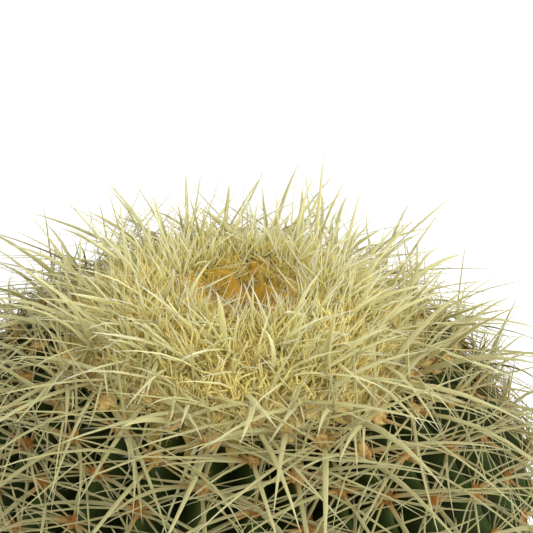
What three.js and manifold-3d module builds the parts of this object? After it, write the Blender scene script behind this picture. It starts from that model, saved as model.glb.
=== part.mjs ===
// A potted round cactus: a ribbed green globe with straw-coloured spines and a woolly crown,
// rooted in soil in a plain unglazed clay pot.
// Millimetres, +Z up. The origin is the centre of the pot's base, on the surface it stands on.
import * as THREE from "three";
import { mergeVertices } from "three/addons/utils/BufferGeometryUtils.js";
import Module from "manifold-3d";

const wasm = await Module();
wasm.setup();

const { clamp, degToRad, lerp, smoothstep } = THREE.MathUtils;

// ---- Driving dimensions -------------------------------------------------------------------------

// Pot
const POT_HEIGHT = 250;
const POT_BASE_RADIUS = 116; // outside, on the surface it stands on
const COLLAR_RADIUS = 172; // outside of the thick band round the mouth
const COLLAR_HEIGHT = 38;
const COLLAR_STEP = 8; // how far the collar stands out from the wall below it
const WALL = 11; // clay wall and floor
const EDGE_ROUND = 3; // bevel on the rims and round the base
const DRAIN_HOLES = 4;
const DRAIN_RADIUS = 7;
const DRAIN_CIRCLE = 62; // radius of the ring that the drain holes stand on

// Soil
const SOIL_LEVEL = POT_HEIGHT - 26;
const SOIL_DIP = 4; // the soil lies this much lower along the clay

// Stem
const RIBS = 34; // both are Fibonacci numbers: there are 34 ribs,
const RIB_STEP = 21; // and each new areole stands 21 ribs round from the one before
const STEM_RADIUS = 160; // on the rib crests, at the widest level
const WIDEST_LEVEL = SOIL_LEVEL + 84;
const CROWN_RISE = 104; // widest level up to the crown
const SHOULDER = 2.2; // superellipse exponent of the upper half: 2 is an ellipse, more is squarer
const SKIRT_DROP = 118; // lower half axis of the stem's ellipse, which the soil cuts off
const DIMPLE_DEPTH = 8; // the growing point lies in a hollow of the crown
const DIMPLE_RADIUS = 26;
const RIB_DEPTH_SHARE = 0.145; // valley depth as a share of the distance from the axis
const RIB_SWAY = degToRad(1.8); // the ribs crowd and spread a little,
const RIB_SWAYS = 5; // this many times round the stem
const RIBS_FADE_OVER = 0.22; // the ribs flatten out over this share of their length at the soil
const NECK_DEPTH = 44; // corky neck below the soil level
const NECK_RADIUS = 22;
const NECK_STEPS = [
  { depth: 0.7, width: 0.6 }, // shares of the neck's depth and of the stem's width at the soil
  { depth: 0.3, width: 0.9 },
];
const ROOT_LENGTH = 90;
const ROOT_TIP_RADIUS = 5;

// Crown wool
const WOOL_RADIUS = 64;
const WOOL_THICKNESS = 11; // where it is thickest, on top of the edge's own thickness
const WOOL_EDGE_THICKNESS = 2.5;
const WOOL_MIDDLE_SHARE = 0.25; // the swell starts this far along its half wave, at the middle

// Areoles along a rib: close together at the growing point, full distance apart on the flank
const YOUNG_PITCH = 6;
const GROWN_PITCH = 24;
const PITCH_GROWS_FROM = 40;
const PITCH_GROWN_AT = 110;
const FIRST_AREOLE_ARC = 8.5;
const BARE_FOOT = 16; // the last stretch of each rib above the soil has no areoles
const BARE_EDGE = 5; // and nor has the wool's edge, this far to each side

// Spines
const CENTRAL_LENGTH = 47; // the stout central spine of a grown areole
const RADIAL_LENGTH = 31; // the thinner spines that spread sideways from it
const CENTRAL_WIDTH = 3.0;
const RADIAL_WIDTH = 2.2;
const ROOT_SINK = 4; // how deep a spine's root sits in the skin
const GROWN_ARC = 60; // distance down the rib at which spines reach full length
const YOUNG_LENGTH_SHARE = 0.45; // length of the youngest spines, as a share of the grown length
// A spine leans by shares of its areole's out, down and sideways. The swing is a random spread.
const CENTRAL_LEAN = { out: 1, down: 0.7, side: 0, swing: 0.4 };
const RADIAL_LEAN = { out: 0.45, down: 0, side: 1, swing: 0.5 };
const YOUNG_LEAN = { out: 1, down: 0.35, side: 0, swing: 0.45 };

// Fit
const SEAT_GAP = 0.4; // between pieces that rest in or on each other
const CLEAR = 2.5; // spines keep this far from the pot, the soil and the other node's spines
const DIVIDE_LEAN = degToRad(27); // crown spines stay inside a cone that opens by this much
const LIFT_STEP = 2;
const POT_SIDES = 48;
const DRAIN_SIDES = 16;
const STEM_RINGS = 15;
const WOOL_RINGS = 4;

// ---- Helpers ------------------------------------------------------------------------------------

// The same run of numbers from 0 to 1 each time.
function seeded(seed) {
  let state = seed;
  return () => {
    state = (state * 1664525 + 1013904223) % 4294967296;
    return state / 4294967296;
  };
}

function solidOf(geometry) {
  const bare = geometry.clone();
  bare.deleteAttribute("normal");
  bare.deleteAttribute("uv");
  const merged = mergeVertices(bare, 1e-3);
  return new wasm.Manifold(
    new wasm.Mesh({
      numProp: 3,
      vertProperties: new Float32Array(merged.attributes.position.array),
      triVerts: new Uint32Array(merged.index.array),
    }),
  );
}

function geometryOf(solid) {
  const mesh = solid.getMesh();
  const geometry = new THREE.BufferGeometry();
  geometry.setAttribute("position", new THREE.BufferAttribute(mesh.vertProperties, 3));
  geometry.setIndex(new THREE.BufferAttribute(mesh.triVerts, 1));
  geometry.computeVertexNormals();
  return geometry;
}

// A profile of [radius, height] pairs, up the outside, turned about +Z from the front, -Y.
function lathe(profile, sides) {
  const points = profile.map(([radius, height]) => new THREE.Vector2(radius, height));
  return new THREE.LatheGeometry(points, sides).rotateX(Math.PI / 2);
}

function named(name, geometry, material) {
  const mesh = new THREE.Mesh(geometry, material);
  mesh.name = name;
  return mesh;
}

// ---- Pot ----------------------------------------------------------------------------------------

const COLLAR_FOOT = POT_HEIGHT - COLLAR_HEIGHT;

// The tapered wall's outside at a height, and its inside one wall further in.
function potRadius(height) {
  return lerp(POT_BASE_RADIUS, COLLAR_RADIUS - COLLAR_STEP, height / POT_HEIGHT);
}

function potBore(height) {
  return potRadius(height) - WALL;
}

function makeDrain(index) {
  const turn = ((index + 0.5) / DRAIN_HOLES) * 2 * Math.PI;
  return solidOf(
    new THREE.CylinderGeometry(DRAIN_RADIUS, DRAIN_RADIUS, 4 * WALL, DRAIN_SIDES)
      .rotateX(Math.PI / 2)
      .translate(DRAIN_CIRCLE * Math.cos(turn), DRAIN_CIRCLE * Math.sin(turn), 0),
  );
}

function makePot() {
  const profile = [
    [0, 0],
    [POT_BASE_RADIUS - EDGE_ROUND, 0],
    [potRadius(EDGE_ROUND), EDGE_ROUND],
    [potRadius(COLLAR_FOOT), COLLAR_FOOT],
    [COLLAR_RADIUS - EDGE_ROUND, COLLAR_FOOT],
    [COLLAR_RADIUS, COLLAR_FOOT + EDGE_ROUND],
    [COLLAR_RADIUS, POT_HEIGHT - EDGE_ROUND],
    [COLLAR_RADIUS - EDGE_ROUND, POT_HEIGHT],
    [potBore(POT_HEIGHT) + EDGE_ROUND, POT_HEIGHT],
    [potBore(POT_HEIGHT), POT_HEIGHT - EDGE_ROUND],
    [potBore(WALL), WALL],
    [0, WALL],
  ];
  let pot = solidOf(lathe(profile, POT_SIDES));
  for (let index = 0; index < DRAIN_HOLES; index++) {
    pot = pot.subtract(makeDrain(index));
  }
  return geometryOf(pot);
}

// ---- Stem ---------------------------------------------------------------------------------------

// The line of a rib's crest in its own upright plane, as (distance from the axis, height),
// from the growing point over the shoulder and down to the soil.
class Crest extends THREE.Curve {
  getPoint(share, target = new THREE.Vector2()) {
    const footAngle = Math.PI - Math.acos((WIDEST_LEVEL - SOIL_LEVEL) / SKIRT_DROP);
    const angle = share * footAngle;
    const above = angle < Math.PI / 2;
    const power = above ? 2 / SHOULDER : 1;
    const radius = STEM_RADIUS * Math.sin(angle) ** power;
    const rise = (above ? CROWN_RISE : -SKIRT_DROP) * Math.abs(Math.cos(angle)) ** power;
    const dimple = DIMPLE_DEPTH * Math.exp(-((radius / DIMPLE_RADIUS) ** 2));
    return target.set(radius, WIDEST_LEVEL + rise - dimple);
  }
}

const crest = new Crest();
crest.arcLengthDivisions = 400;
const CREST_LENGTH = crest.getLength();
const FOOT_RADIUS = crest.getPointAt(1).x;

// Where a rib that would stand at this turn in an even row really stands.
function swayed(turn) {
  return turn + RIB_SWAY * Math.cos(RIB_SWAYS * turn);
}

// Height of the crest at a distance from the axis, on the crown.
function crownHeight(radius) {
  let inner = 0;
  let outer = 0.5;
  while (outer - inner > 1e-6) {
    const middle = (inner + outer) / 2;
    if (crest.getPoint(middle).x < radius) {
      inner = middle;
    } else {
      outer = middle;
    }
  }
  return crest.getPoint(outer).y;
}

// The root and the neck below the soil, as a profile from the tip up, kept larger by a gap.
function rootProfile(gap) {
  const neckFoot = SOIL_LEVEL - NECK_DEPTH - gap;
  const steps = NECK_STEPS.map(({ depth, width }) => [
    FOOT_RADIUS * width + gap,
    SOIL_LEVEL - NECK_DEPTH * depth - gap,
  ]);
  return [[ROOT_TIP_RADIUS + gap, neckFoot - ROOT_LENGTH], [NECK_RADIUS + gap, neckFoot], ...steps];
}

function makeStemBody() {
  const underground = rootProfile(0);
  underground.unshift([0, underground[0][1]]);
  const above = Array.from({ length: STEM_RINGS + 1 }, (_, ring) => {
    const point = crest.getPointAt(1 - ring / STEM_RINGS);
    return [ring === STEM_RINGS ? 0 : point.x, point.y];
  });
  const profile = [...underground, ...above];
  const geometry = lathe(profile, 2 * RIBS);
  const { position, normal } = geometry.attributes;
  const axis = new THREE.Vector3(0, 0, 1);
  const place = new THREE.Vector3();
  const outward = new THREE.Vector3();
  // Every second meridian is a valley. It is pushed in along the normal, by less near the soil.
  for (let i = 0; i < position.count; i++) {
    const column = Math.floor(i / profile.length);
    const ring = (i % profile.length) - underground.length;
    place.fromBufferAttribute(position, i);
    if (column % 2 === 1 && ring >= 0) {
      outward.fromBufferAttribute(normal, i);
      const fade = smoothstep(ring / STEM_RINGS, 0, RIBS_FADE_OVER);
      const depth = RIB_DEPTH_SHARE * Math.hypot(place.x, place.y) * fade;
      place.addScaledVector(outward, -depth);
    }
    const turn = (column / RIBS) * Math.PI;
    place.applyAxisAngle(axis, swayed(turn) - turn);
    position.setXYZ(i, place.x, place.y, place.z);
  }
  return geometry;
}

// ---- Areoles and spines -------------------------------------------------------------------------

// Areoles in the order they grew, youngest first. Each has its place on a rib's crest and its own
// three directions: out of the skin, down the rib and sideways.
function listAreoles() {
  const areoles = [];
  let arc = FIRST_AREOLE_ARC;
  for (let count = 0; arc < CREST_LENGTH - BARE_FOOT; count++) {
    const turn = swayed((((RIB_STEP * count) % RIBS) / RIBS) * 2 * Math.PI);
    const radial = new THREE.Vector3(Math.sin(turn), -Math.cos(turn), 0);
    const upright = (flat) => radial.clone().multiplyScalar(flat.x).setZ(flat.y);
    const point = crest.getPointAt(arc / CREST_LENGTH);
    const down = crest.getTangentAt(arc / CREST_LENGTH);
    areoles.push({
      arc,
      handed: count % 2 ? 1 : -1,
      reach: point.x,
      place: upright(point),
      out: upright(new THREE.Vector2(-down.y, down.x)),
      down: upright(down),
      side: new THREE.Vector3(Math.cos(turn), Math.sin(turn), 0),
    });
    const grown = smoothstep(arc, PITCH_GROWS_FROM, PITCH_GROWN_AT);
    arc += lerp(YOUNG_PITCH, GROWN_PITCH, grown) / RIBS;
  }
  return areoles;
}

// Where a spine of this length ends when it leans this way.
function tipOf(areole, lean, length, draw) {
  const swing = () => lean.swing * (draw() - 0.5);
  const direction = new THREE.Vector3()
    .addScaledVector(areole.out, lean.out)
    .addScaledVector(areole.down, lean.down + swing())
    .addScaledVector(areole.side, lean.side * areole.handed + swing())
    .normalize();
  return areole.place.clone().addScaledVector(direction, length);
}

// A straight three-sided needle.
function needle(root, tip, width) {
  const along = tip.clone().sub(root);
  const length = along.length();
  const up = new THREE.Vector3(0, 1, 0);
  const turn = new THREE.Quaternion().setFromUnitVectors(up, along.divideScalar(length));
  return solidOf(
    new THREE.ConeGeometry(width / 2, length, 3)
      .translate(0, length / 2, 0)
      .applyQuaternion(turn)
      .translate(root.x, root.y, root.z),
  );
}

const WOOL_EDGE_LEVEL = crownHeight(WOOL_RADIUS);

// Distance from the axis of the cone that parts the crown's spines from the ribs' spines.
function divideAt(height) {
  return WOOL_RADIUS + CLEAR + Math.max(0, height - WOOL_EDGE_LEVEL) * Math.tan(DIVIDE_LEAN);
}

// Keeps a tip at least, or at most, this far from the axis, at its own height.
function bendTo(tip, least, most) {
  const reach = Math.hypot(tip.x, tip.y);
  const scale = clamp(reach, least, most) / reach;
  tip.x *= scale;
  tip.y *= scale;
}

// Whether the line from root to tip comes too near the pot's rim or the soil.
function touchesPot(root, tip) {
  const probe = new THREE.Vector3();
  for (let share = 0.1; share <= 1; share += 0.1) {
    probe.lerpVectors(root, tip, share);
    const reach = Math.hypot(probe.x, probe.y);
    const floor = reach > potBore(POT_HEIGHT) - CLEAR ? POT_HEIGHT : SOIL_LEVEL;
    if (reach < COLLAR_RADIUS + CLEAR && probe.z < floor + CLEAR) {
      return true;
    }
  }
  return false;
}

function makeStem(areoles) {
  const draw = seeded(7);
  const kinds = [
    { lean: CENTRAL_LEAN, length: CENTRAL_LENGTH, width: CENTRAL_WIDTH },
    { lean: RADIAL_LEAN, length: RADIAL_LENGTH, width: RADIAL_WIDTH },
  ];
  const needles = [];
  for (const areole of areoles) {
    const root = areole.place.clone().addScaledVector(areole.out, -ROOT_SINK);
    for (const { lean, length, width } of kinds) {
      const tip = tipOf(areole, lean, length, draw);
      while (touchesPot(areole.place, tip)) {
        tip.z += LIFT_STEP;
      }
      bendTo(tip, divideAt(tip.z) + CLEAR, Infinity);
      needles.push(needle(root, tip, width));
    }
  }
  return geometryOf(wasm.Manifold.union([solidOf(makeStemBody()), ...needles]));
}

// ---- Crown wool ---------------------------------------------------------------------------------

// A felted cushion on the crown, thickest half way out. It fills the furrows that it lies over.
function makeCushion() {
  const foot = WOOL_EDGE_LEVEL - 2 * RIB_DEPTH_SHARE * WOOL_RADIUS;
  const profile = [
    [0, foot],
    [WOOL_RADIUS, foot],
  ];
  for (let ring = WOOL_RINGS; ring >= 0; ring--) {
    const radius = (WOOL_RADIUS * ring) / WOOL_RINGS;
    const swell = Math.sin(Math.PI * lerp(WOOL_MIDDLE_SHARE, 1, ring / WOOL_RINGS));
    profile.push([radius, crownHeight(radius) + WOOL_EDGE_THICKNESS + WOOL_THICKNESS * swell]);
  }
  const seat = solidOf(makeStemBody().translate(0, 0, SEAT_GAP));
  return solidOf(lathe(profile, 2 * RIBS)).subtract(seat);
}

// The cushion with the young spines that stand in it, short in the middle.
function makeCrownWool(areoles) {
  const draw = seeded(11);
  const needles = areoles.map((areole) => {
    const grown = Math.min(1, areole.arc / GROWN_ARC);
    const lean = { ...YOUNG_LEAN, down: YOUNG_LEAN.down * grown };
    const length = CENTRAL_LENGTH * lerp(YOUNG_LENGTH_SHARE, 1, grown);
    const tip = tipOf(areole, lean, length, draw);
    tip.z += WOOL_EDGE_THICKNESS;
    bendTo(tip, 0, divideAt(tip.z) - CLEAR);
    const root = areole.place.clone();
    root.z += WOOL_EDGE_THICKNESS;
    return needle(root, tip, CENTRAL_WIDTH);
  });
  return geometryOf(wasm.Manifold.union([makeCushion(), ...needles]));
}

// ---- Soil ---------------------------------------------------------------------------------------

// Fills the pot round the stem's neck and root, which stand in a plain hole in it.
function makeSoil() {
  const flatSides = 1 / Math.cos(Math.PI / POT_SIDES); // keeps the hole's flats off the round stem
  const hole = [[FOOT_RADIUS + SEAT_GAP, SOIL_LEVEL], ...rootProfile(SEAT_GAP).reverse()];
  const profile = [
    [0, WALL + SEAT_GAP],
    [potBore(WALL) - SEAT_GAP, WALL + SEAT_GAP],
    [potBore(SOIL_LEVEL - SOIL_DIP) - SEAT_GAP, SOIL_LEVEL - SOIL_DIP],
    ...hole.map(([radius, height]) => [radius * flatSides, height]),
    [0, hole[hole.length - 1][1]],
  ];
  return lathe(profile, POT_SIDES);
}

// ---- The part -----------------------------------------------------------------------------------

const clay = new THREE.MeshStandardMaterial({ color: 0xb5643c, roughness: 0.9, metalness: 0 });
const earth = new THREE.MeshStandardMaterial({ color: 0x3a2b1f, roughness: 1, metalness: 0 });
const skin = new THREE.MeshStandardMaterial({ color: 0x2f4d26, roughness: 0.55, metalness: 0 });
const wool = new THREE.MeshStandardMaterial({ color: 0xd9cf95, roughness: 0.8, metalness: 0 });

const areoles = listAreoles();
const ribAreoles = areoles.filter(({ reach }) => reach > WOOL_RADIUS + BARE_EDGE);
const crownAreoles = areoles.filter(({ reach }) => reach < WOOL_RADIUS - BARE_EDGE);

const cactus = new THREE.Group();
cactus.add(
  named("pot", makePot(), clay),
  named("soil", makeSoil(), earth),
  named("stem", makeStem(ribAreoles), skin),
  named("crown_wool", makeCrownWool(crownAreoles), wool),
);

export default cactus;
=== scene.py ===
# %% [markdown]
# # A potted round cactus
# The solids of the part give a plain ribbed globe with straight needles, a smooth cushion on its
# crown, a disc of soil and a pot. This lesson grows the real plant's surfaces over them: the
# furrowed skin, thousands of curved spines, the felt and the wool, gritty soil and fired clay.
# Everything is worked out in millimetres with whole numpy arrays and becomes metres only when a
# mesh is filled. +Z is up, and the origin is the centre of the pot's base.

import bpy
import numpy as np
from mathutils import Matrix


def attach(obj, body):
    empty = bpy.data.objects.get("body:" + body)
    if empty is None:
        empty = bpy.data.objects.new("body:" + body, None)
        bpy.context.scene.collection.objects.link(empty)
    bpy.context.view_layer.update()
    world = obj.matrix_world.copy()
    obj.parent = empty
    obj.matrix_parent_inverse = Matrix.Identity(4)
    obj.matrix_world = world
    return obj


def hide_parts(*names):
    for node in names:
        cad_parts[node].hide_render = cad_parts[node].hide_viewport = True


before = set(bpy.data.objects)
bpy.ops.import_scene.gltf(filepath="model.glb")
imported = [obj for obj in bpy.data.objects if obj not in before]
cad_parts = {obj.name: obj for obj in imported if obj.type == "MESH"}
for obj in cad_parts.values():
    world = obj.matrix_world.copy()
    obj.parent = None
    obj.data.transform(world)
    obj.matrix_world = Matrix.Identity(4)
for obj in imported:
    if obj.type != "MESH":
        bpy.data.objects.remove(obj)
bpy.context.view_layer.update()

print("solids:", sorted(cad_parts))

# %% [markdown]
# ## Numbers of the plant and its pot
# The solids and the surfaces have to agree, so the surfaces start from the same measures.

# %% Measures
MM = 0.001

RIBS = 34
RIB_STEP = 21
RIB_STEP_INVERSE = 13  # 21 * 13 = 1 when counted round 34 ribs
STEM_RADIUS = 160.0
SOIL_LEVEL = 224.0
WIDEST_LEVEL = SOIL_LEVEL + 84.0
CROWN_RISE = 104.0
SHOULDER = 2.2
SKIRT_DROP = 118.0
DIMPLE_DEPTH = 8.0
DIMPLE_RADIUS = 26.0
RIB_DEPTH_SHARE = 0.145
RIB_SWAY = np.radians(1.8)
RIB_SWAYS = 5
RIBS_FADE_OVER = 0.22

WOOL_RADIUS = 64.0
WOOL_THICKNESS = 11.0
WOOL_EDGE_THICKNESS = 2.5
WOOL_MIDDLE_SHARE = 0.25

YOUNG_PITCH = 6.0
GROWN_PITCH = 24.0
PITCH_GROWS_FROM = 40.0
PITCH_GROWN_AT = 110.0
FIRST_AREOLE_ARC = 8.5
BARE_FOOT = 16.0
CENTRAL_LENGTH = 47.0
CENTRAL_WIDTH = 3.0

POT_HEIGHT = 250.0
POT_BASE_RADIUS = 116.0
COLLAR_RADIUS = 172.0
COLLAR_HEIGHT = 38.0
COLLAR_STEP = 8.0
WALL = 11.0
DRAIN_HOLES = 4
DRAIN_RADIUS = 7.0
DRAIN_CIRCLE = 62.0
SEAT_GAP = 0.4
print("plant", 2 * STEM_RADIUS, "mm wide in a pot", 2 * COLLAR_RADIUS, "mm wide")

# %% [markdown]
# ## The line of a rib
# Every rib follows the same line from the growing point over the shoulder to the soil. The line is
# a superellipse above the widest level and an ellipse below it. A plant grows along that line, so
# the table reads it by distance travelled and not by angle.


# %% The line of a rib
def smoothstep(x, low, high):
    """3 t^2 - 2 t^3, where t runs from 0 at low to 1 at high."""
    t = np.clip((x - low) / (high - low), 0, 1)
    return t * t * (3 - 2 * t)


def lerp(a, b, share):
    """a + (b - a) * share."""
    return a + (b - a) * share


def bell(x, width, middle=0.0):
    """exp(-((x - middle) / width)^2), which is 1 in the middle and nearly 0 two widths away."""
    return np.exp(-(((x - middle) / width) ** 2))


def rib_line(steps=6000):
    """radius = R sin(t)^p and height = widest + H cos(t)^p, less a bell-shaped dimple."""
    foot = np.pi - np.arccos((WIDEST_LEVEL - SOIL_LEVEL) / SKIRT_DROP)
    t = np.linspace(0, foot, steps)
    power = np.where(t < np.pi / 2, 2 / SHOULDER, 1)
    half = np.where(t < np.pi / 2, CROWN_RISE, -SKIRT_DROP)
    radius = STEM_RADIUS * np.sin(t) ** power
    height = WIDEST_LEVEL + half * np.abs(np.cos(t)) ** power
    height -= DIMPLE_DEPTH * bell(radius, DIMPLE_RADIUS)
    arc = np.append(0, np.cumsum(np.hypot(np.diff(radius), np.diff(height))))
    return arc, radius, height


LINE_ARC, LINE_RADIUS, LINE_HEIGHT = rib_line()
LINE_LENGTH = LINE_ARC[-1]
LINE_DOWN = np.stack([np.gradient(LINE_RADIUS, LINE_ARC), np.gradient(LINE_HEIGHT, LINE_ARC)], 1)
print("a rib is", round(LINE_LENGTH), "mm long and meets the soil at", round(LINE_RADIUS[-1]), "mm")

# %% [markdown]
# ## Where the areoles stand
# Spines grow in bunches from woolly pads, the areoles. A plant makes them one after another at its
# growing point, each a golden angle on from the last, which with 34 ribs is 21 ribs round. As the
# stem swells they move down the ribs and apart. So one list, in the order of growth, places all of
# them, and the spirals that the eye finds in the spines come out by themselves.


# %% The list of areoles
def areole_count(arc):
    """How many areoles stand nearer the growing point: the sum of ribs / pitch along the line."""
    return np.interp(arc, LINE_ARC, LINE_COUNT)


grown = smoothstep(LINE_ARC, PITCH_GROWS_FROM, PITCH_GROWN_AT)
per_mm = RIBS / lerp(YOUNG_PITCH, GROWN_PITCH, grown)
LINE_COUNT = np.append(0, np.cumsum((per_mm[1:] + per_mm[:-1]) / 2 * np.diff(LINE_ARC)))
LINE_COUNT -= np.interp(FIRST_AREOLE_ARC, LINE_ARC, LINE_COUNT)

order = np.arange(int(areole_count(LINE_LENGTH - BARE_FOOT)) + 1)
areole_arc = np.interp(order, LINE_COUNT, LINE_ARC)
areole_turn = (RIB_STEP * order % RIBS) / RIBS * 2 * np.pi
print(len(order), "areoles")

# %% [markdown]
# ## Small tools for shapes
# A few tools carry the whole plant. One makes smooth random hills, so nothing is perfectly round.
# One turns any line into rings round the axis, and one joins rings into faces. One fills a mesh
# from arrays, with its place in its vertices and with named values on them that the materials
# read later.


# %% Small tools for shapes
def unit(vectors):
    """Each vector divided by its length."""
    return vectors / np.linalg.norm(vectors, axis=-1, keepdims=True)


def lumps(points, size, seed, waves=14):
    """Smooth hills about this size: the sum of sine waves that run in random directions."""
    draw = np.random.default_rng(seed)
    direction = unit(draw.normal(size=(waves, 3)))
    direction *= 2 * np.pi / (size * draw.uniform(0.7, 1.6, (waves, 1)))
    phase = draw.uniform(0, 2 * np.pi, waves)
    return np.sin(points @ direction.T + phase).sum(-1) / np.sqrt(waves / 2)


def spin(radius, height, turn):
    """Points at a radius and a height, turned about +Z from the front, -Y, towards +X."""
    radius, height, turn = np.broadcast_arrays(radius, height, turn)
    return np.stack([radius * np.sin(turn), -radius * np.cos(turn), height], -1)


def turned_faces(rows, columns):
    """Quads and triangles of a surface of rings between two poles. Point 0 is the first pole, then
    come the rings, then the last pole. Where the rings follow each other down and their points run
    from the front towards +X, the faces look outwards."""
    ring = 1 + columns * np.arange(rows - 1)[:, None]
    below = ring + columns
    here = np.arange(columns)
    beside = (here + 1) % columns
    quads = np.stack([ring + here, below + here, below + beside, ring + beside], -1)
    last_ring = 1 + columns * (rows - 1)
    pole = np.full(columns, last_ring + columns)
    fans = [
        np.stack([np.zeros(columns, int), 1 + here, 1 + beside], -1),
        np.stack([last_ring + here, pole, last_ring + beside], -1),
    ]
    return quads.reshape(-1, 4), np.concatenate(fans)


def repeated(faces, per_shape, count):
    """The faces of one shape, for a count of such shapes whose points follow each other."""
    offset = per_shape * np.arange(count)[:, None, None]
    return [(kind + offset).reshape(-1, kind.shape[1]) for kind in faces]


def fill(name, points, quads, fans, **values):
    """Puts points in millimetres, faces and values for each point into a mesh object at the
    origin, which rides on the part's one body."""
    mesh = bpy.data.meshes.new(name)
    corners = np.concatenate([quads.ravel(), fans.ravel()]).astype(np.int32)
    sizes = np.concatenate([np.full(len(quads), 4), np.full(len(fans), 3)])
    starts = np.append(0, np.cumsum(sizes)[:-1]).astype(np.int32)
    mesh.vertices.add(len(points))
    mesh.vertices.foreach_set("co", (points * MM).astype(np.float32).ravel())
    mesh.loops.add(len(corners))
    mesh.loops.foreach_set("vertex_index", corners)
    mesh.polygons.add(len(sizes))
    mesh.polygons.foreach_set("loop_start", starts)
    mesh.update(calc_edges=True)
    mesh.polygons.foreach_set("use_smooth", np.ones(len(sizes), bool))
    for key, value in values.items():
        attribute = mesh.attributes.new(key, "FLOAT", "POINT")
        attribute.data.foreach_set("value", np.asarray(value, np.float32).ravel())
    piece = bpy.data.objects.new(name, mesh)
    bpy.context.scene.collection.objects.link(piece)
    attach(piece, "root")
    print(name, len(points), "points,", 2 * len(quads) + len(fans), "triangles")
    return piece


def fill_turned(name, rings, top, bottom, **values):
    """Closes rings with a pole on the axis at each end, top and bottom, and fills a mesh. A value
    is given for each ring or each point, and a pole takes that of the point beside it."""
    points = np.concatenate([[[0, 0, top]], rings.reshape(-1, 3), [[0, 0, bottom]]])
    grid = rings.shape[:2]
    for key, value in values.items():
        values[key] = np.pad(np.broadcast_to(value, grid).ravel(), 1, mode="edge")
    return fill(name, points, *turned_faces(*grid), **values)


# %% [markdown]
# ## The skin
# The globe's skin is pleated. A pleat has a blunt crest and two nearly flat sides that meet in a
# sharp furrow. It could be carved into a sphere, but then every pleat would need its own cut. Here
# the pleats are part of the formula: the skin is the rib line, pushed in along its own normal by
# an amount that depends only on how far round it is from the nearest crest. Each areole sits on a
# slight swelling, and slow random hills keep the ribs from being all alike.

# %% The skin as a formula
CREST_BLUNTNESS = 0.2
TUBERCLE = 1.5
TUBERCLE_WIDTH = 0.45  # as a share of half a rib
UNEVENNESS = 0.9


def swayed(turn):
    """The ribs crowd and spread: turn + sway * cos(5 turn)."""
    return turn + RIB_SWAY * np.cos(RIB_SWAYS * turn)


def rib_point(arc, lift=0.0):
    """(radius, height) on the rib line, lifted along its normal, and the direction down it."""
    down = unit(np.stack([np.interp(arc, LINE_ARC, LINE_DOWN[:, k]) for k in (0, 1)], -1))
    radius = np.interp(arc, LINE_ARC, LINE_RADIUS) - down[..., 1] * lift
    height = np.interp(arc, LINE_ARC, LINE_HEIGHT) + down[..., 0] * lift
    return radius, height, down


def round_stem(arc, turn, lift=0.0):
    """A point of the stem as it would be without ribs: the rib line, lifted and turned."""
    radius, height, _ = rib_point(arc, lift)
    return spin(radius, height, turn)


def across_rib(turn):
    """0 on a rib's crest and 1 in the furrow beside it, with the number of the nearest rib."""
    rib = turn * RIBS / (2 * np.pi)
    nearest = np.round(rib)
    return 2 * np.abs(rib - nearest), nearest.astype(int) % RIBS


def skin_at(arc, turn):
    """Skin point = round stem + normal * (swelling at areoles + hills - furrow)."""
    across, rib = across_rib(turn)
    blunt = np.hypot(across, CREST_BLUNTNESS) - CREST_BLUNTNESS
    furrow = blunt / (np.hypot(1, CREST_BLUNTNESS) - CREST_BLUNTNESS)
    fade = smoothstep((LINE_LENGTH - arc) / LINE_LENGTH, 0, RIBS_FADE_OVER)
    since_areole = (areole_count(arc) - RIB_STEP_INVERSE * rib % RIBS) / RIBS
    swelling = TUBERCLE * np.cos(2 * np.pi * since_areole) * bell(across, TUBERCLE_WIDTH)
    swelling = swelling * smoothstep(arc, 45, 120) * fade
    hills = UNEVENNESS * lumps(round_stem(arc, turn), 60, 3) * smoothstep(arc, 20, 90) * fade
    depth = RIB_DEPTH_SHARE * np.interp(arc, LINE_ARC, LINE_RADIUS) * furrow * fade
    return round_stem(arc, swayed(turn), swelling + hills - depth)


# %% Skin of the stem
NECK = [(0.95, 8.0), (0.9, 13.2), (0.6, 30.8), (0.19, 44.0)]  # share of the foot's radius, depth
TAPROOT = [(16.5, 90.0), (5.0, 134.0)]  # radius, depth

half_pleat = np.array([0, 0.05, 0.12, 0.2, 0.3, 0.4, 0.47])
pleat = np.concatenate([half_pleat, [0.5], 1 - half_pleat[:0:-1]])
skin_turn = ((np.arange(RIBS)[:, None] + pleat) / RIBS * 2 * np.pi).ravel()
skin_arc = np.linspace(1.2, LINE_LENGTH, 172)
skin = skin_at(skin_arc[:, None], skin_turn)

foot_radius = LINE_RADIUS[-1]
neck_radius = [foot_radius * share for share, _ in NECK] + [radius for radius, _ in TAPROOT]
neck_radius = np.array(neck_radius)
neck_level = SOIL_LEVEL - np.array([depth for _, depth in NECK + TAPROOT])
neck = spin(neck_radius[:, None], neck_level[:, None], swayed(skin_turn))
reach = np.append(skin_arc / LINE_LENGTH, np.ones(len(neck)))
stem_skin = fill_turned(
    "stem_skin",
    np.concatenate([skin, neck]),
    LINE_HEIGHT[0],
    neck_level[-1],
    across=across_rib(skin_turn)[0],
    reach=reach[:, None],
)
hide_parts("stem")

# %% [markdown]
# ## Directions and age of an areole
# A spine knows three directions: out of the skin, down the rib and sideways. They are worked out
# once for all areoles. Areoles on the crown are young. Their spines stand nearly upright in a
# tuft, short and slender. As the areole moves outwards they open into a star, lengthen and thicken,
# and each of these changes is a smooth step between two places on the rib.

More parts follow.
